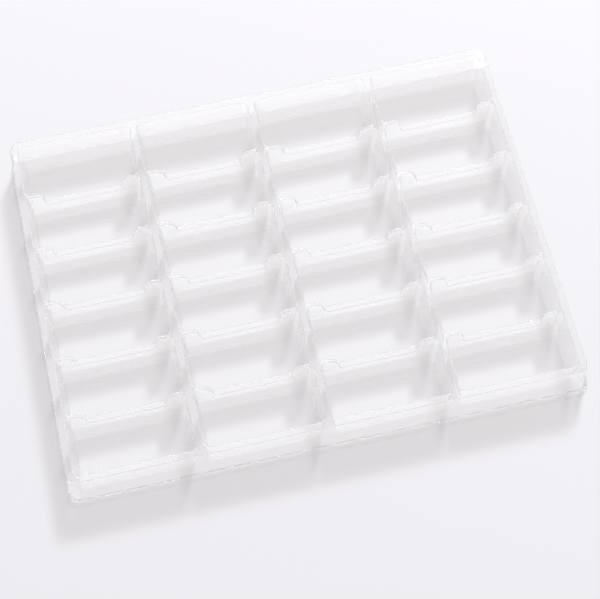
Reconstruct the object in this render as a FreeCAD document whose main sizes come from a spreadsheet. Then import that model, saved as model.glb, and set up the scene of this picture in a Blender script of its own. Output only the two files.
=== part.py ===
import FreeCAD, Part
import math
import os

import Sketcher

# Clear tray with a grid of rectangular pockets, formed from one thin plastic sheet over a mould.
# The sheet is the tray's outer form minus the same form set in by the sheet's thickness, so each
# rib, the rim and the skirt are hollow underneath, as on a real vacuum-formed tray.
#
# Frame: X along the long side, Y along the short side, Z up. The origin is the middle of the
# tray at the level of the surface that it stands on. Lengths are millimetres, angles degrees.

SIZES = [
    # grid of pockets
    ("column_count", 4, "pockets along the long side"),
    ("row_count", 6, "pockets along the short side"),
    ("column_pitch", 68.0, "from one column of pockets to the next"),
    ("row_pitch", 33.75, "from one row of pockets to the next"),
    # one pocket
    ("floor_length", 60.2, "flat floor of a pocket along X"),
    ("floor_width", 27.6, "flat floor of a pocket along Y"),
    ("pocket_corner", 3.0, "radius up the corners of a pocket"),
    ("wall_draft", 5.3, "lean of the pocket walls, which frees the sheet from the mould"),
    # heights and sheet
    ("tray_height", 22.8, "top of the rim and of the long ribs"),
    ("saddle_height", 14.0, "top of the short ribs between two humps"),
    ("sheet_thickness", 0.5, "the plastic sheet"),
    ("bed_bevel", 0.6, "bevel along the top edges of the short ribs"),
    ("rim_bevel", 0.6, "bevel along the edges of the rim, humps and long ribs"),
    # humps left at full height where a short rib meets a long rib or the rim
    ("hump_reach", 12.9, "foot of a hump from the middle of the long rib"),
    ("hump_round", 5.0, "radius of a hump's shoulder"),
    ("hump_slope", 15.0, "lean of a hump's end away from upright"),
    # rim, skirt and foot
    ("land_width", 3.9, "rim outside the pockets, over its bevelled edges"),
    ("rim_corner", 5.0, "corner radius of the rim, seen from above"),
    ("skirt_draft", 4.0, "lean of the outer skirt"),
    ("band_depth", 0.5, "how far the foot band stands out from the skirt"),
    ("band_height", 2.4, "height of the foot band"),
    ("foot_corner", 4.0, "corner radius of the foot band, seen from above"),
    ("notch_pitch", 13.95, "from one notch of the foot band to the next"),
    ("notch_width", 3.7, "width of a notch"),
    ("long_notch_count", 19, "notches along each long side"),
    ("short_notch_count", 15, "notches along each short side"),
]

OVERSHOOT = 1.0     # how far a cutting profile runs on past the face where it leaves the solid
MATCH = 1e-4        # how near two coordinates lie to count as the same


def make_sheet(doc):
    """The driving sizes, one to a row, each with its alias."""
    sheet = doc.addObject("Spreadsheet::Sheet", "Sizes")
    for row, (alias, number, note) in enumerate(SIZES, start=1):
        sheet.set(f"A{row}", alias)
        sheet.set(f"B{row}", str(number))
        sheet.set(f"C{row}", note)
        sheet.setAlias(f"B{row}", alias)
    doc.recompute()
    return sheet


class Form:
    """One solid form of the tray, set in by a number of sheet thicknesses: 0 outside, 1 inside."""

    def __init__(self, doc, name, layers):
        self.doc = doc
        self.body = doc.addObject("PartDesign::Body", name)
        self.layers = layers
        inset = f"{layers} * Sizes.sheet_thickness"
        half_grid_x = "(Sizes.column_count - 1) * Sizes.column_pitch / 2"
        half_grid_y = "(Sizes.row_count - 1) * Sizes.row_pitch / 2"
        wall_lean = "(Sizes.tray_height - Sizes.sheet_thickness) * tan(Sizes.wall_draft)"
        half_rim_x = f"({half_grid_x} + Sizes.floor_length / 2 + {wall_lean} + Sizes.land_width)"
        half_rim_y = f"({half_grid_y} + Sizes.floor_width / 2 + {wall_lean} + Sizes.land_width)"
        foot_lean = "Sizes.tray_height * tan(Sizes.skirt_draft)"
        self.inset = inset
        self.top = f"(Sizes.tray_height - {inset})"
        self.saddle = f"(Sizes.saddle_height - {inset})"
        self.band_top = f"(Sizes.band_height - {inset})"
        # the skirt leans, so a level cut through its sheet is a little wider than the sheet
        skirt_inset = f"{inset} / cos(Sizes.skirt_draft)"
        self.skirt_x = f"({half_rim_x} + {foot_lean} - {skirt_inset})"
        self.skirt_y = f"({half_rim_y} + {foot_lean} - {skirt_inset})"
        self.skirt_corner = f"(Sizes.rim_corner + {foot_lean} - {skirt_inset})"
        self.band_x = f"({half_rim_x} + {foot_lean} + Sizes.band_depth - {inset})"
        self.band_y = f"({half_rim_y} + {foot_lean} + Sizes.band_depth - {inset})"
        self.band_corner = f"(Sizes.foot_corner - {inset})"
        self.first_column = f"-{half_grid_x}"
        self.first_row = f"-{half_grid_y}"
        # the inner form's pockets reach down through the foot, which leaves the floors one
        # sheet thick and the ribs open underneath
        self.floor_level = f"({1 - layers} * Sizes.sheet_thickness)"
        wall_inset = f"{inset} * (1 / cos(Sizes.wall_draft) - tan(Sizes.wall_draft))"
        self.floor_x = f"(Sizes.floor_length / 2 + {wall_inset})"
        self.floor_y = f"(Sizes.floor_width / 2 + {wall_inset})"
        mouth_lean = f"({self.top} - {self.floor_level}) * tan(Sizes.wall_draft)"
        self.mouth_x = f"({self.floor_x} + {mouth_lean})"
        self.mouth_y = f"({self.floor_y} + {mouth_lean})"

    def value(self, expression):
        """The number that a size expression stands for."""
        return float(self.body.evalExpression(expression))

    def plane(self, role):
        return next(o for o in self.body.Origin.OriginFeatures if o.Role == role)

    def sketch(self, name, role):
        """A sketch on an origin plane of this form's body."""
        sketch = self.body.newObject("Sketcher::SketchObject", f"{self.body.Name}_{name}")
        sketch.AttachmentSupport = [(self.plane(role), "")]
        sketch.MapMode = "FlatFace"
        return sketch

    def feature(self, kind, name, sizes, **choices):
        """A feature of the body: its sizes are expressions, its choices plain values."""
        feature = self.body.newObject(f"PartDesign::{kind}", f"{self.body.Name}_{name}")
        for choice, setting in choices.items():
            setattr(feature, choice, setting)
        for key, expression in sizes.items():
            feature.setExpression(key, expression)
        return feature

    def pattern(self, name, original, *rows):
        """Repeats a feature along each row in turn: a row is its axis, count and pitch."""
        self.doc.recompute()
        steps = []
        for axis, count, pitch in rows:
            sizes = {"Occurrences": count, "Offset": pitch}
            steps.append(self.feature("LinearPattern", f"{name}_along_{axis}", sizes,
                                      Mode="Spacing", Direction=(self.plane(axis), [""])))
        if len(steps) == 1:
            repeated = steps[0]
            repeated.Originals = [original]
        else:
            repeated = self.feature("MultiTransform", name, {}, Originals=[original])
            repeated.Transformations = steps
        self.body.Tip = repeated


def measured(sketch, name, constraint, expression):
    """Adds a named measuring constraint to a sketch and ties it to a size expression."""
    index = sketch.addConstraint(constraint)
    sketch.renameConstraint(index, name)
    sketch.setExpression(f"Constraints.{name}", expression)


def rounded_rectangle(form, sketch, half_x, half_y, corner):
    """Draws a fully constrained rectangle with rounded corners round the tray's middle."""
    hx, hy, r = form.value(half_x), form.value(half_y), form.value(corner)
    normal = FreeCAD.Vector(0, 0, 1)

    def point(x, y):
        return FreeCAD.Vector(x, y, 0)

    sides = [
        Part.LineSegment(point(-hx + r, -hy), point(hx - r, -hy)),
        Part.LineSegment(point(hx, -hy + r), point(hx, hy - r)),
        Part.LineSegment(point(hx - r, hy), point(-hx + r, hy)),
        Part.LineSegment(point(-hx, hy - r), point(-hx, -hy + r)),
    ]
    corners = []
    for quarter, (sx, sy) in enumerate([(1, -1), (1, 1), (-1, 1), (-1, -1)]):
        circle = Part.Circle(point(sx * (hx - r), sy * (hy - r)), normal, r)
        start = math.radians(90 * quarter - 90)
        corners.append(Part.ArcOfCircle(circle, start, start + math.radians(90)))
    sketch.addGeometry(sides + corners, False)
    bottom, right, top, left = range(4)
    for side in range(4):
        arc, following = 4 + side, (side + 1) % 4
        sketch.addConstraint(Sketcher.Constraint("Tangent", side, 2, arc, 1))
        sketch.addConstraint(Sketcher.Constraint("Tangent", arc, 2, following, 1))
    for level in (bottom, top):
        sketch.addConstraint(Sketcher.Constraint("Horizontal", level))
    for upright in (right, left):
        sketch.addConstraint(Sketcher.Constraint("Vertical", upright))
    for arc in (5, 6, 7):
        sketch.addConstraint(Sketcher.Constraint("Equal", 4, arc))
    limits = [
        ("left", "DistanceX", left, -hx, f"-{half_x}"),
        ("right", "DistanceX", right, hx, half_x),
        ("near", "DistanceY", bottom, -hy, f"-{half_y}"),
        ("far", "DistanceY", top, hy, half_y),
    ]
    for name, kind, side, number, expression in limits:
        measured(sketch, name, Sketcher.Constraint(kind, -1, 1, side, 1, number), expression)
    measured(sketch, "corner", Sketcher.Constraint("Radius", 4, r), corner)


def rectangle(form, sketch, limits):
    """Draws a fully constrained rectangle; limits are expressions for left, right, near, far."""
    x0, x1, y0, y1 = (form.value(limit) for limit in limits)
    corners = [FreeCAD.Vector(x, y, 0) for x, y in ((x0, y0), (x1, y0), (x1, y1), (x0, y1))]
    first = sketch.GeometryCount
    for start, end in zip(corners, corners[1:] + corners[:1]):
        sketch.addGeometry(Part.LineSegment(start, end), False)
    for side in range(4):
        following = first + (side + 1) % 4
        sketch.addConstraint(Sketcher.Constraint("Coincident", first + side, 2, following, 1))
        level = "Horizontal" if side % 2 == 0 else "Vertical"
        sketch.addConstraint(Sketcher.Constraint(level, first + side))
    places = [
        ("left", "DistanceX", 3, x0),
        ("right", "DistanceX", 1, x1),
        ("near", "DistanceY", 0, y0),
        ("far", "DistanceY", 2, y1),
    ]
    for (name, kind, side, number), expression in zip(places, limits):
        constraint = Sketcher.Constraint(kind, -1, 1, first + side, 1, number)
        measured(sketch, f"{name}{first}", constraint, expression)


def add_skirt(form):
    """The outer skirt and the rim as one block, widening from the rim down to the foot."""
    sketch = form.sketch("skirt_outline", "XY_Plane")
    rounded_rectangle(form, sketch, form.skirt_x, form.skirt_y, form.skirt_corner)
    sizes = {"Length": form.top, "TaperAngle": "-Sizes.skirt_draft"}
    form.feature("Pad", "skirt", sizes, Profile=sketch)


def add_foot_band(form):
    """A low band round the foot of the skirt, broken by notches at an even pitch."""
    outline = form.sketch("band_outline", "XY_Plane")
    rounded_rectangle(form, outline, form.band_x, form.band_y, form.band_corner)
    form.feature("Pad", "band", {"Length": form.band_top}, Profile=outline)
    past_x = f"{form.band_x} + {OVERSHOOT}"
    past_y = f"{form.band_y} + {OVERSHOOT}"
    near_far = [(f"-({past_y})", f"-{form.skirt_y}"), (form.skirt_y, past_y)]
    left_right = [(f"-({past_x})", f"-{form.skirt_x}"), (form.skirt_x, past_x)]
    for name, axis, across in (("long", "X_Axis", near_far), ("short", "Y_Axis", left_right)):
        count = f"Sizes.{name}_notch_count"
        middle = f"(1 - {count}) * Sizes.notch_pitch / 2"
        half = f"(Sizes.notch_width / 2 + {form.inset})"
        along = (f"{middle} - {half}", f"{middle} + {half}")
        sketch = form.sketch(f"{name}_notch_outline", "XY_Plane")
        for depth in across:
            rectangle(form, sketch, along + depth if name == "long" else depth + along)
        notch = form.feature(
            "Pocket", f"{name}_notch", {"Length": form.band_top}, Profile=sketch, Reversed=True)
        form.pattern(f"{name}_notches", notch, (axis, count, "Sizes.notch_pitch"))


def add_pockets(form):
    """The grid of drafted pockets, from the floor up to the rim. Each is a block that widens
    upwards, in axes of its own: X along the pocket, Y up and Z towards the near side."""
    sizes = {"Ymin": form.floor_level, "Ymax": form.top}
    for axis, centre, floor, mouth in (("X", form.first_column, form.floor_x, form.mouth_x),
                                       ("Z", form.first_row, form.floor_y, form.mouth_y)):
        middle = centre if axis == "X" else f"-({centre})"
        for end, sign in (("min", "-"), ("max", "+")):
            sizes[f"{axis}{end}"] = f"{middle} {sign} {floor}"
            sizes[f"{axis}2{end}"] = f"{middle} {sign} {mouth}"
    pocket = form.feature("SubtractiveWedge", "pocket", sizes,
                          AttachmentSupport=[(form.plane("XZ_Plane"), "")], MapMode="FlatFace")
    form.pattern("pockets", pocket,
                 ("X_Axis", "Sizes.column_count", "Sizes.column_pitch"),
                 ("Y_Axis", "Sizes.row_count", "Sizes.row_pitch"))


def saddle_outline(form, sketch):
    """Draws the hollow between two humps: a level bed, leaning ends and round shoulders."""
    foot = (f"(Sizes.column_pitch / 2 - Sizes.hump_reach"
            f" + {form.inset} * tan(45 - Sizes.hump_slope / 2))")
    shoulder = f"(Sizes.hump_round - {form.inset})"
    past = f"{form.top} + {OVERSHOOT}"
    lean = math.radians(form.value("Sizes.hump_slope"))
    centre, x_foot, r = (form.value(size) for size in (form.first_column, foot, shoulder))
    bed, top, z_past = (form.value(size) for size in (form.saddle, form.top, past))
    # the shoulder leaves the rim's level at x_level, and joins the leaning end at x_join
    x_level = x_foot + (top - bed) * math.tan(lean) + r * math.tan(math.pi / 4 - lean / 2)
    x_join = x_level - r * math.cos(lean)
    z_join = top - r + r * math.sin(lean)

    def line(x0, z0, x1, z1):
        return Part.LineSegment(FreeCAD.Vector(centre + x0, z0, 0),
                                FreeCAD.Vector(centre + x1, z1, 0))

    def arc(x, start, end):
        middle = FreeCAD.Vector(centre + x, top - r, 0)
        return Part.ArcOfCircle(Part.Circle(middle, FreeCAD.Vector(0, 0, 1), r), start, end)

    sketch.addGeometry([
        line(-x_foot, bed, x_foot, bed),
        line(x_foot, bed, x_join, z_join),
        arc(x_level, math.pi / 2, math.pi - lean),
        line(x_level, top, x_level, z_past),
        line(x_level, z_past, -x_level, z_past),
        line(-x_level, z_past, -x_level, top),
        arc(-x_level, lean, math.pi / 2),
        line(-x_foot, bed, -x_join, z_join),
    ], False)
    floor, right_end, right_arc, right_side, lid, left_side, left_arc, left_end = range(8)
    for first, its_end, second, its_point in (
            (floor, 2, right_end, 1), (right_arc, 1, right_side, 1), (right_side, 2, lid, 1),
            (lid, 2, left_side, 1), (left_side, 2, left_arc, 2), (floor, 1, left_end, 1)):
        sketch.addConstraint(Sketcher.Constraint("Coincident", first, its_end, second, its_point))
    sketch.addConstraint(Sketcher.Constraint("Tangent", right_end, 2, right_arc, 2))
    sketch.addConstraint(Sketcher.Constraint("Tangent", left_end, 2, left_arc, 1))
    sketch.addConstraint(Sketcher.Constraint("Vertical", right_arc, 3, right_arc, 1))
    sketch.addConstraint(Sketcher.Constraint("Vertical", left_arc, 3, left_arc, 2))
    sketch.addConstraint(Sketcher.Constraint("Equal", right_arc, left_arc))
    for level in (floor, lid):
        sketch.addConstraint(Sketcher.Constraint("Horizontal", level))
    for upright in (right_side, left_side):
        sketch.addConstraint(Sketcher.Constraint("Vertical", upright))
    from_origin = (-1, 1)
    measures = [
        ("bed", ("DistanceY", *from_origin, floor, 1, bed), form.saddle),
        ("left_foot", ("DistanceX", *from_origin, floor, 1, centre - x_foot),
         f"{form.first_column} - {foot}"),
        ("right_foot", ("DistanceX", *from_origin, floor, 2, centre + x_foot),
         f"{form.first_column} + {foot}"),
        ("right_lean", ("Angle", right_end, math.pi / 2 - lean), "90 - Sizes.hump_slope"),
        ("left_lean", ("Angle", left_end, math.pi / 2 + lean), "90 + Sizes.hump_slope"),
        ("shoulder", ("Radius", right_arc, r), shoulder),
        ("right_top", ("DistanceY", *from_origin, right_arc, 1, top), form.top),
        ("left_top", ("DistanceY", *from_origin, left_arc, 2, top), form.top),
        ("past", ("DistanceY", *from_origin, lid, 1, z_past), past),
    ]
    for name, measure, expression in measures:
        measured(sketch, name, Sketcher.Constraint(*measure), expression)


def add_saddles(form):
    """Lowers the short ribs between the humps, in one cut across each column of pockets."""
    sketch = form.sketch("saddle_outline", "XZ_Plane")
    saddle_outline(form, sketch)
    sizes = {"Length": "(Sizes.row_count - 1) * Sizes.row_pitch"}
    saddle = form.feature("Pocket", "saddle", sizes, Profile=sketch, Midplane=True)
    form.pattern("saddles", saddle, ("X_Axis", "Sizes.column_count", "Sizes.column_pitch"))


def edges_between(form, low, high):
    """The body's edges that run from one level to the other, each with its number."""
    edges = []
    for number, edge in enumerate(form.body.Tip.Shape.Edges, start=1):
        box = edge.BoundBox
        if abs(box.ZMin - low) < MATCH and abs(box.ZMax - high) < MATCH:
            edges.append((f"Edge{number}", box))
    return edges


def round_corners(form):
    """Rounds the corners of the pockets, all the way up."""
    form.doc.recompute()
    corners = edges_between(form, form.value(form.floor_level), form.value(form.top))
    form.body.Tip = form.feature(
        "Fillet", "corner_round", {"Radius": "Sizes.pocket_corner"},
        Base=(form.body.Tip, [name for name, box in corners]))


def bevel_rim(form):
    """Breaks the edges of the rim and of the ribs while they all still stand at full height."""
    form.doc.recompute()
    rim = edges_between(form, form.value(form.top), form.value(form.top))
    form.body.Tip = form.feature(
        "Chamfer", "rim_bevel", {"Size": "Sizes.rim_bevel"},
        Base=(form.body.Tip, [name for name, box in rim]))


def bevel_beds(form):
    """Breaks the long edges of the short ribs between their humps."""
    form.doc.recompute()
    beds = edges_between(form, form.value(form.saddle), form.value(form.saddle))
    form.body.Tip = form.feature(
        "Chamfer", "bed_bevel", {"Size": "Sizes.bed_bevel"},
        Base=(form.body.Tip, [name for name, box in beds if box.YLength < MATCH]))


def check(doc):
    """Stops the build at any feature that failed."""
    for item in doc.Objects:
        if "Invalid" in item.State or "Error" in item.State:
            raise RuntimeError(f"{item.Name}: {item.getStatusString()}")


def make_form(doc, name, layers):
    """The whole form of the tray, as a solid; layers is how many sheets it is set in by."""
    form = Form(doc, name, layers)
    add_skirt(form)
    add_foot_band(form)
    add_pockets(form)
    if layers == 0:
        round_corners(form)
        bevel_rim(form)
    add_saddles(form)
    if layers == 0:
        bevel_beds(form)
    doc.recompute()
    return form.body


def main():
    doc = FreeCAD.newDocument("tray")
    make_sheet(doc)
    outside = make_form(doc, "outside", 0)
    inside = make_form(doc, "inside", 1)
    tray = doc.addObject("Part::Cut", "tray")
    tray.Label = "tray"
    tray.Base = outside
    tray.Tool = inside
    doc.recompute()
    check(doc)
    if tray.Shape.isNull() or not tray.Shape.isValid() or len(tray.Shape.Solids) != 1:
        raise RuntimeError("the tray isn't one valid solid")
    os.makedirs("parts", exist_ok=True)
    tray.Shape.exportStep(os.path.join("parts", f"{tray.Label}.step"))
    box = tray.Shape.BoundBox
    print(f"tray {box.XLength:.1f} x {box.YLength:.1f} x {box.ZLength:.1f} mm,"
          f" {tray.Shape.Volume / 1000:.1f} cm3 of plastic")


main()
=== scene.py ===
import math

import bmesh
import bpy
from mathutils import Matrix, Vector


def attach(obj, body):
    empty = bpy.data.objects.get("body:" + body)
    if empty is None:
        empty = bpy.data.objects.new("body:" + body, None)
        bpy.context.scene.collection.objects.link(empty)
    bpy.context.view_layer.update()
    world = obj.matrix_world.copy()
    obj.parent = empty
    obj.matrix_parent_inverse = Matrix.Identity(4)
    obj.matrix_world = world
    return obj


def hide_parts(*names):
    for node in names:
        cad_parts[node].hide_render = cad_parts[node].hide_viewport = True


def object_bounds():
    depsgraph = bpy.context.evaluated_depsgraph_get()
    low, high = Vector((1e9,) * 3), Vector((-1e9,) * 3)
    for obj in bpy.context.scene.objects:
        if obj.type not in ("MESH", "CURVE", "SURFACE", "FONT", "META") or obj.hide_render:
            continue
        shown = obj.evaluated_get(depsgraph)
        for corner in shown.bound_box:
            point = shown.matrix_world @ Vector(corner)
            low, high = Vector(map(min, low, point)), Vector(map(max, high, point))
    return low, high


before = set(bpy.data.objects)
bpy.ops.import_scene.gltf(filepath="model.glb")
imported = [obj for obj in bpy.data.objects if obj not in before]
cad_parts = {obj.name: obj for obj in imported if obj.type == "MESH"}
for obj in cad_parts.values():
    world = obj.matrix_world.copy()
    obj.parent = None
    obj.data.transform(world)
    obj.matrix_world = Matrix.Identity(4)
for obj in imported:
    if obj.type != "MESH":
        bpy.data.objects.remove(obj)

cad_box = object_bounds()

# ---- The formed sheet. The real tray is one sheet of clear polyester, heated and drawn down over
# a mould with a block for every pocket, then trimmed round its foot. It is modelled the same way:
# the mould's block first, then its pockets and saddles, and last the sheet over it.
MM = 0.001
COLUMNS, ROWS = 4, 6
PITCH_X, PITCH_Y = 68.0 * MM, 33.75 * MM
FLOOR_X, FLOOR_Y = 30.1 * MM, 13.8 * MM           # half of a pocket's floor
FLOOR_CORNER, MOUTH_CORNER = 1.2 * MM, 3.6 * MM   # a pocket's corners open out as they rise
FLOOR_LEVEL = 0.5 * MM
DRAWN_SHEET = 0.3 * MM                            # the sheet thins as it is drawn into the mould
TOP = cad_box[1][2]
LAND = 3.9 * MM
SADDLE = 14.0 * MM
RIM_CORNER, FOOT_CORNER = 5.8 * MM, 4.0 * MM
WALL_LEAN = math.tan(math.radians(5.3))
SKIRT_LEAN = math.tan(math.radians(4.0))
MOUTH_X = FLOOR_X + (TOP - FLOOR_LEVEL) * WALL_LEAN
MOUTH_Y = FLOOR_Y + (TOP - FLOOR_LEVEL) * WALL_LEAN
COLUMN_PLACES = [(column - (COLUMNS - 1) / 2) * PITCH_X for column in range(COLUMNS)]
ROW_PLACES = [(row - (ROWS - 1) / 2) * PITCH_Y for row in range(ROWS)]
RIM_X = COLUMN_PLACES[-1] + MOUTH_X + LAND
RIM_Y = ROW_PLACES[-1] + MOUTH_Y + LAND
BELOW = 3 * MM                                    # blocks run on below the table's level
OVER = 4 * MM                                     # cutting blocks run on above the rim
NEAR = 1e-6                                       # a point this close to a level lies on it


def make_active(shape):
    """Selects one object alone and makes it the active one."""
    bpy.ops.object.select_all(action="DESELECT")
    shape.select_set(True)
    bpy.context.view_layer.objects.active = shape


def apply(shape, modifier):
    """Applies a modifier to its shape."""
    bpy.context.view_layer.objects.active = shape
    bpy.ops.object.modifier_apply(modifier=modifier.name)


def block(name, half_x, half_y, low, high, lean=0, corner=0, steps=0, top_corner=None):
    """A block with leaning sides and round upright corners; half sizes are at its low end, and
    the corners may have another radius at its top."""
    bpy.ops.object.select_all(action="DESELECT")
    bpy.ops.mesh.primitive_cube_add(size=2, location=(0, 0, (low + high) / 2))
    shape = bpy.context.object
    shape.name = name
    shape.scale = (half_x, half_y, (high - low) / 2)
    bpy.ops.object.transform_apply(location=True, rotation=True, scale=True)
    bpy.ops.object.mode_set(mode="EDIT")
    bpy.ops.mesh.select_mode(type="EDGE")
    bpy.ops.mesh.select_all(action="DESELECT")
    mesh = bmesh.from_edit_mesh(shape.data)
    for edge in mesh.edges:
        a, b = edge.verts
        edge.select_set(abs(a.co.z - b.co.z) > (high - low) / 2)
    bmesh.update_edit_mesh(shape.data)
    if steps:
        bpy.ops.mesh.bevel(offset=corner, segments=steps, profile=0.5)
    bpy.ops.mesh.select_mode(type="FACE")
    bpy.ops.mesh.select_all(action="DESELECT")
    mesh = bmesh.from_edit_mesh(shape.data)
    for face in mesh.faces:
        face.select_set(face.calc_center_median().z > high - NEAR)
    bmesh.update_edit_mesh(shape.data)
    shift = (high - low) * lean
    bpy.ops.transform.resize(value=((half_x + shift) / half_x, (half_y + shift) / half_y, 1),
                             center_override=(0, 0, high))
    if top_corner:
        mesh = bmesh.from_edit_mesh(shape.data)
        for vertex in mesh.verts:
            if vertex.co.z > high - NEAR:
                for axis, low_half in ((0, half_x), (1, half_y)):
                    high_half = low_half + shift
                    place = vertex.co[axis] * low_half / high_half
                    along = (abs(place) - (low_half - corner)) / corner
                    vertex.co[axis] = math.copysign(
                        high_half - top_corner + top_corner * along, place)
        bmesh.update_edit_mesh(shape.data)
    bpy.ops.object.mode_set(mode="OBJECT")
    return shape


def copies(shape, places):
    """Copies a shape to each place, and joins the copies into one object."""
    made = []
    for place in places:
        copy = shape.copy()
        copy.data = shape.data.copy()
        copy.data.transform(Matrix.Translation(place))
        bpy.context.scene.collection.objects.link(copy)
        made.append(copy)
    bpy.ops.object.select_all(action="DESELECT")
    for copy in made:
        copy.select_set(True)
    bpy.context.view_layer.objects.active = made[0]
    bpy.ops.object.join()
    bpy.data.objects.remove(shape)
    return bpy.context.view_layer.objects.active


def combine(shape, other, operation):
    """Applies a boolean of the other shape to this one, and removes the other."""
    boolean = shape.modifiers.new(operation.lower(), "BOOLEAN")
    boolean.operation = operation
    boolean.object = other
    boolean.solver = "EXACT"
    apply(shape, boolean)
    bpy.data.objects.remove(other)


foot_lean = TOP * SKIRT_LEAN
block_lean = (TOP + BELOW) * SKIRT_LEAN
tray = block("clear_tray", RIM_X + block_lean, RIM_Y + block_lean, -BELOW, TOP, -SKIRT_LEAN,
             RIM_CORNER, 8)

# the foot band, a low step round the skirt, broken by notches at an even pitch
BAND, BAND_TOP = 0.5 * MM, 2.4 * MM
CUT_TOP = BAND_TOP + 1 * MM                       # what cuts the band runs on above it
NOTCH_PITCH, NOTCH_WIDTH = 13.95 * MM, 3.7 * MM
NOTCH_REACH = 2 * MM                              # half of a notch's block, across the band
LONG_NOTCHES, SHORT_NOTCHES = 19, 15
band = block("foot_band", RIM_X + foot_lean + BAND, RIM_Y + foot_lean + BAND, -BELOW, BAND_TOP,
             corner=FOOT_CORNER, steps=8)
for along, count, edge in ((0, LONG_NOTCHES, RIM_Y + foot_lean),
                           (1, SHORT_NOTCHES, RIM_X + foot_lean)):
    half = [NOTCH_REACH, NOTCH_REACH]
    half[along] = NOTCH_WIDTH / 2
    notch = block("notch", half[0], half[1], -2 * BELOW, CUT_TOP)
    notches = []
    for number in range(count):
        for side in (-1, 1):
            place = Vector((0, 0, 0))
            place[along] = (number - (count - 1) / 2) * NOTCH_PITCH
            place[1 - along] = side * (edge + NOTCH_REACH)
            notches.append(place)
    combine(band, copies(notch, notches), "DIFFERENCE")

# the band is a ring whose inner edge lies under the rim, clear of every pocket's floor
RING_INSET = 1 * MM
inside = block("inside", RIM_X - RING_INSET, RIM_Y - RING_INSET, -2 * BELOW, CUT_TOP,
               corner=FOOT_CORNER, steps=2)
combine(band, inside, "DIFFERENCE")

# the pockets
pocket = block("pocket", FLOOR_X, FLOOR_Y, FLOOR_LEVEL, TOP + OVER, WALL_LEAN, FLOOR_CORNER, 6,
               MOUTH_CORNER)
pockets = copies(pocket, [Vector((x, y, 0)) for x in COLUMN_PLACES for y in ROW_PLACES])
combine(tray, pockets, "DIFFERENCE")

# the saddles: the short ribs are lower between their humps
HUMP_FOOT, HUMP_ROUND, HUMP_SLOPE = 12.9 * MM, 5.0 * MM, math.radians(15)
HUMP_STEPS = 7
foot = PITCH_X / 2 - HUMP_FOOT
level = (foot + (TOP - SADDLE) * math.tan(HUMP_SLOPE)
         + HUMP_ROUND * math.tan(math.pi / 4 - HUMP_SLOPE / 2))
outline = [(foot, SADDLE)]
for step in range(HUMP_STEPS + 1):
    angle = math.pi - HUMP_SLOPE - (math.pi / 2 - HUMP_SLOPE) * step / HUMP_STEPS
    outline.append((level + HUMP_ROUND * math.cos(angle),
                    TOP - HUMP_ROUND + HUMP_ROUND * math.sin(angle)))
outline.append((level, TOP + OVER))
outline += [(-x, z) for x, z in reversed(outline)]
half_run = (ROWS - 1) * PITCH_Y / 2
profile = bpy.data.meshes.new("saddle")
profile.from_pydata([(x, -half_run, z) for x, z in outline], [], [list(range(len(outline)))])
saddle = bpy.data.objects.new("saddle", profile)
bpy.context.scene.collection.objects.link(saddle)
make_active(saddle)
bpy.ops.object.mode_set(mode="EDIT")
bpy.ops.mesh.select_all(action="SELECT")
bpy.ops.mesh.extrude_region_move(TRANSFORM_OT_translate={"value": (0, 2 * half_run, 0)})
bpy.ops.mesh.select_all(action="SELECT")
bpy.ops.mesh.normals_make_consistent(inside=False)
bpy.ops.object.mode_set(mode="OBJECT")
saddles = copies(saddle, [Vector((x, 0, 0)) for x in COLUMN_PLACES])
combine(tray, saddles, "DIFFERENCE")


# every fold of the sheet is rounded, the foot band's only a little
def rounded(shape, radius, steps):
    """Merges the shape's flat faces and rounds its edges."""
    make_active(shape)
    bpy.ops.object.mode_set(mode="EDIT")
    bpy.ops.mesh.select_all(action="SELECT")
    bpy.ops.mesh.remove_doubles(threshold=0.01 * MM)
    bpy.ops.mesh.select_all(action="SELECT")
    bpy.ops.mesh.dissolve_limited(angle_limit=math.radians(1))
    bpy.ops.object.mode_set(mode="OBJECT")
    rounding = shape.modifiers.new("rounded edges", "BEVEL")
    rounding.limit_method = "ANGLE"
    rounding.angle_limit = math.radians(35)
    rounding.width = radius
    rounding.segments = steps
    rounding.use_clamp_overlap = False
    rounding.miter_outer = "MITER_SHARP"
    apply(shape, rounding)


FOLD, BAND_FOLD = 0.5 * MM, 0.2 * MM
rounded(tray, FOLD, 3)
rounded(band, BAND_FOLD, 2)
combine(tray, band, "UNION")

# open the underside: all that lies below the trimmed foot goes, and the sheet is what remains
TRIM = 0.01 * MM
make_active(tray)
bpy.ops.object.mode_set(mode="EDIT")
bpy.ops.mesh.select_all(action="SELECT")
bpy.ops.mesh.bisect(plane_co=(0, 0, TRIM), plane_no=(0, 0, 1), clear_inner=True,
                    use_fill=False)
bpy.ops.object.mode_set(mode="OBJECT")
thickness = tray.modifiers.new("sheet", "SOLIDIFY")
thickness.thickness = DRAWN_SHEET
thickness.offset = -1
thickness.use_even_offset = False
apply(tray, thickness)
bpy.ops.object.shade_smooth()
flats = tray.modifiers.new("flats stay flat", "WEIGHTED_NORMAL")
flats.weight = 100
apply(tray, flats)


def ramp(nodes, stops):
    """A colour ramp through a colour at each place, given in rising order."""
    made = nodes.new("ShaderNodeValToRGB")
    elements = made.color_ramp.elements
    for element, (position, colour) in ((elements[0], stops[0]), (elements[1], stops[-1])):
        element.position = position
        element.color = (*colour, 1)
    for position, colour in stops[1:-1]:
        elements.new(position).color = (*colour, 1)
    return made


def either(nodes, links, one, other):
    """The greater of two values, so 1 where either of two kinds of ray is met."""
    made = nodes.new("ShaderNodeMath")
    made.operation = "MAXIMUM"
    links.new(one, made.inputs[0])
    links.new(other, made.inputs[1])
    return made.outputs["Value"]


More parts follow.
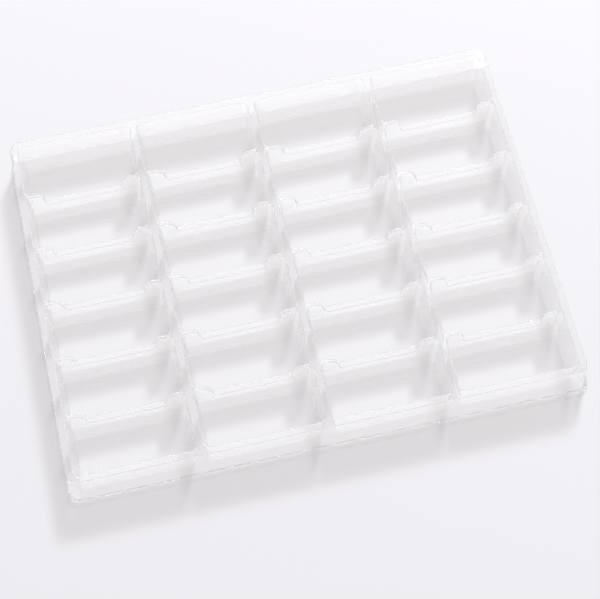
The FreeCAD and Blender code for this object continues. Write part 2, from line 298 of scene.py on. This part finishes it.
def blended(nodes, links, share, first, second):
    """A mix of two shaders; the share of the second is a number or a socket."""
    made = nodes.new("ShaderNodeMixShader")
    if isinstance(share, float):
        made.inputs["Fac"].default_value = share
    else:
        links.new(share, made.inputs["Fac"])
    links.new(first, made.inputs[1])
    links.new(second, made.inputs[2])
    return made.outputs["Shader"]


def clear_polyester():
    """Glass-clear sheet with a milky white on its walls and folds: on the walls partly the
    sheet's own haze and partly painted light that brightens them, on the folds a painted
    highlight. Lamp light goes straight through it, a little less in the walls and where it meets
    the sheet aslant."""
    CLEAR = (1, 1, 1)
    material = bpy.data.materials.new("clear polyester sheet")
    material.use_nodes = True
    nodes, links = material.node_tree.nodes, material.node_tree.links
    glass = nodes["Principled BSDF"]
    glass.inputs["Base Color"].default_value = (*CLEAR, 1)
    glass.inputs["Roughness"].default_value = 0.0
    glass.inputs["IOR"].default_value = 1.5
    glass.inputs["Transmission Weight"].default_value = 1.0

    # how level the surface lies: 1 on floors and rim, near 0 on walls and skirt
    surface = nodes.new("ShaderNodeNewGeometry")
    parts = nodes.new("ShaderNodeSeparateXYZ")
    level = nodes.new("ShaderNodeMath")
    level.operation = "ABSOLUTE"
    links.new(surface.outputs["Normal"], parts.inputs["Vector"])
    links.new(parts.outputs["Z"], level.inputs[0])

    # a milky white, partly the sheet's own haze on its walls and partly painted light there;
    # strongest on the folds, where it is a painted highlight standing in for the bright lines
    # that reflection draws along them
    haze = nodes.new("ShaderNodeBsdfTranslucent")
    haze.inputs["Color"].default_value = (*CLEAR, 1)
    veil = nodes.new("ShaderNodeBsdfDiffuse")
    veil.inputs["Color"].default_value = (*CLEAR, 1)
    haze_and_highlight = blended(nodes, links, 0.75, veil.outputs["BSDF"], haze.outputs["BSDF"])
    # how much of the milky white each surface gets: painted highlight on the folds, haze and
    # painted brightening on the walls, none on floors and rim
    haze_and_fold_highlight = ramp(nodes, [(place, (amount, amount, amount)) for place, amount in
                           ((0.12, 0.16), (0.3, 0.38), (0.45, 0.8), (0.8, 0.8), (0.97, 0))])
    links.new(level.outputs["Value"], haze_and_fold_highlight.inputs["Fac"])
    seen = blended(nodes, links, haze_and_fold_highlight.outputs["Color"], glass.outputs["BSDF"], haze_and_highlight)

    # what is left of lamp light behind one face of the sheet; light from all round loses nothing
    facing = nodes.new("ShaderNodeLayerWeight")
    facing.inputs["Blend"].default_value = 0.3
    tint = ramp(nodes, [(0.4, CLEAR), (1.0, (0.7, 0.71, 0.73))])
    walls = ramp(nodes, [(0.2, (0.855, 0.846, 0.83)), (0.9, CLEAR)])
    both = nodes.new("ShaderNodeMix")
    both.data_type = "RGBA"
    both.blend_type = "MULTIPLY"
    both.inputs["Factor"].default_value = 1
    even = nodes.new("ShaderNodeMix")
    even.data_type = "RGBA"
    even.inputs["B"].default_value = (*CLEAR, 1)
    through = nodes.new("ShaderNodeBsdfTransparent")
    light_path = nodes.new("ShaderNodeLightPath")
    links.new(facing.outputs["Facing"], tint.inputs["Fac"])
    links.new(level.outputs["Value"], walls.inputs["Fac"])
    links.new(tint.outputs["Color"], both.inputs["A"])
    links.new(walls.outputs["Color"], both.inputs["B"])
    links.new(both.outputs["Result"], even.inputs["A"])
    links.new(light_path.outputs["Is Diffuse Ray"], even.inputs["Factor"])
    links.new(even.outputs["Result"], through.inputs["Color"])

    lighting = either(nodes, links, light_path.outputs["Is Shadow Ray"],
                      light_path.outputs["Is Diffuse Ray"])
    whole = blended(nodes, links, lighting, seen, through.outputs["BSDF"])
    links.new(whole, nodes["Material Output"].inputs["Surface"])
    return material


tray.data.materials.clear()
tray.data.materials.append(clear_polyester())
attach(tray, "root")
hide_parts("tray")

# ---- The setting: a plain pale table that runs on out of sight, one soft lamp from behind and to
# the right, and even light from all round. None of it is part of the tray.
TABLE_SIZE, TABLE_DROP = 8, 0.3 * MM              # the drop keeps it clear of the tray's foot
bpy.ops.mesh.primitive_plane_add(size=TABLE_SIZE, location=(0, 0, -TABLE_DROP))
table = bpy.context.object
table.name = "table"
white = bpy.data.materials.new("white table")
white.use_nodes = True
top = white.node_tree.nodes["Principled BSDF"]
top.inputs["Base Color"].default_value = (0.90, 0.887, 0.923, 1)
top.inputs["Roughness"].default_value = 0.9
top.inputs["Specular IOR Level"].default_value = 0.0
table.data.materials.append(white)

LAMP_AZIMUTH, LAMP_HEIGHT, LAMP_DISTANCE = math.radians(62), math.radians(42), 3.0
LAMP_SIZE, LAMP_POWER = 0.55, 55
lamp_place = Vector((math.cos(LAMP_AZIMUTH) * math.cos(LAMP_HEIGHT),
                     math.sin(LAMP_AZIMUTH) * math.cos(LAMP_HEIGHT),
                     math.sin(LAMP_HEIGHT))) * LAMP_DISTANCE
bpy.ops.object.light_add(type="AREA", location=lamp_place)
lamp = bpy.context.object
lamp.data.shape = "DISK"
lamp.data.size = LAMP_SIZE
lamp.data.energy = LAMP_POWER
lamp.visible_glossy = False
lamp.visible_transmission = False
lamp.rotation_euler = (-lamp_place).to_track_quat("-Z", "Y").to_euler()

world = bpy.data.worlds.new("even light")
bpy.context.scene.world = world
world.use_nodes = True
nodes, links = world.node_tree.nodes, world.node_tree.links
around = nodes["Background"]
around.inputs["Color"].default_value = (1, 1, 1, 1)
around.inputs["Strength"].default_value = 0.6
# what the clear sheet mirrors and bends into view: a bright room, darker low down and in front
room = nodes.new("ShaderNodeBackground")
direction = nodes.new("ShaderNodeTexCoord")
toward = nodes.new("ShaderNodeVectorMath")
toward.operation = "DOT_PRODUCT"
toward.inputs[1].default_value = (0.35, 0.45, 0.82)
shade = ramp(nodes, [(0.0, (0.75, 0.75, 0.77)), (0.75, (1, 1, 1))])
kind = nodes.new("ShaderNodeLightPath")
links.new(direction.outputs["Generated"], toward.inputs[0])
links.new(toward.outputs["Value"], shade.inputs["Fac"])
links.new(shade.outputs["Color"], room.inputs["Color"])
in_sheet = either(nodes, links, kind.outputs["Is Glossy Ray"],
                  kind.outputs["Is Transmission Ray"])
sky = blended(nodes, links, in_sheet, around.outputs["Background"], room.outputs["Background"])
links.new(sky, nodes["World Output"].inputs["Surface"])

# a ray may pass many layers of sheet between the table and the lamp
THROUGH_SHEETS, BOUNCES = 64, 32
bpy.context.scene.cycles.transparent_max_bounces = THROUGH_SHEETS
bpy.context.scene.cycles.max_bounces = BOUNCES
bpy.context.scene.cycles.transmission_bounces = BOUNCES

# ---- The camera stands over the near long side, a little to its left, and looks steeply down
# across the tray, turned slightly about its own line of sight.
TARGET = Vector((0.0021, -0.0180, 0))
AZIMUTH, ELEVATION, DISTANCE = math.radians(-9.5), math.radians(63.7), 0.9142
ROLL = math.radians(3.57)
LENS, SENSOR = 99.8, 36
outward = Vector((math.sin(AZIMUTH) * math.cos(ELEVATION),
                  -math.cos(AZIMUTH) * math.cos(ELEVATION),
                  math.sin(ELEVATION)))
bpy.ops.object.camera_add(location=TARGET + outward * DISTANCE)
camera = bpy.context.object
aim = (-outward).to_track_quat("-Z", "Y").to_matrix()
camera.rotation_euler = (aim @ Matrix.Rotation(-ROLL, 3, "Z")).to_euler()
camera.data.lens = LENS
camera.data.sensor_width = SENSOR
bpy.context.scene.camera = camera
bpy.context.scene.view_settings.view_transform = "Standard"
